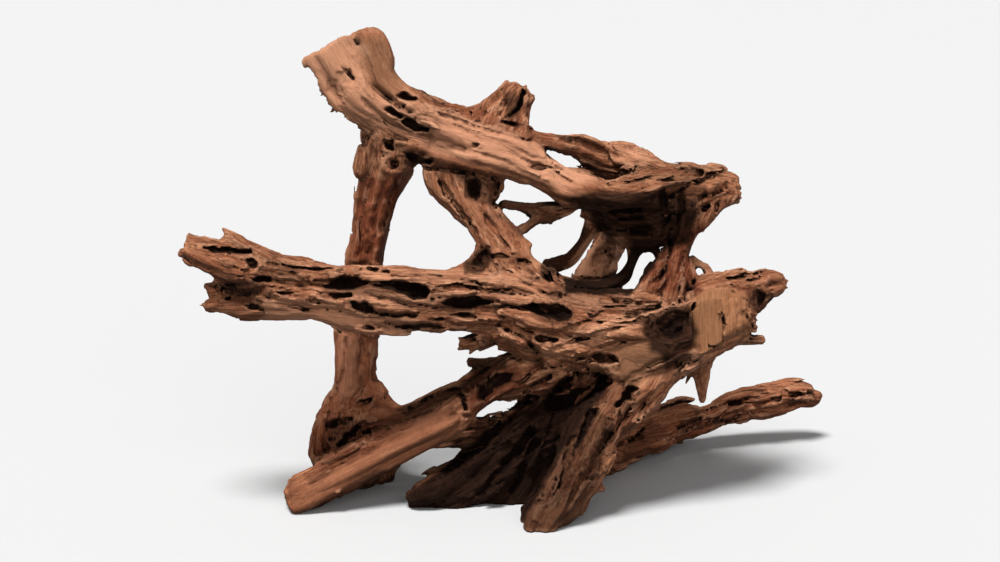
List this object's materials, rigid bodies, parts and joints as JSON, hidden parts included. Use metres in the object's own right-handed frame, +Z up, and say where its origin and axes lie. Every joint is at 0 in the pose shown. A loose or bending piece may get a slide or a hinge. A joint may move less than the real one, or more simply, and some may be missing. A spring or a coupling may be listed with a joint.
{
  "type": "mangrove root",
  "caption": "Branching weathered mangrove root that stands on its feet, with a long low limb, a raised diagonal limb, upright struts and swim-through gaps, for an aquarium or terrarium",
  "frame": {"origin": "middle of the piece's box, at the level of the surface that it stands on", "axes": "+Z up, +X to the viewer's right along the long limb, +Y away from the viewer of the picture"},
  "size_m": [0.6571, 0.2742, 0.4705],
  "materials": {
    "weathered_wood": "bare, dry and matte, red-brown with dark hollows and one pale sawn face"
  },
  "bodies": {
    "root": {"crown": "weathered_wood", "front_foot": "weathered_wood", "middle_limb": "weathered_wood", "right_horn": "weathered_wood", "front_left_root": "weathered_wood", "rear_foot": "weathered_wood", "lower_fork": "weathered_wood", "left_foot": "weathered_wood", "top_strand": "weathered_wood", "upper_limb": "weathered_wood", "left_post": "weathered_wood", "upper_stub": "weathered_wood", "rear_fork": "weathered_wood", "centre_strut": "weathered_wood", "forked_twig": "weathered_wood", "right_post": "weathered_wood", "hanging_mass": "weathered_wood", "rear_stump": "weathered_wood", "slender_root": "weathered_wood", "bent_root": "weathered_wood", "rear_right_root": "weathered_wood"}
  },
  "joints": []
}
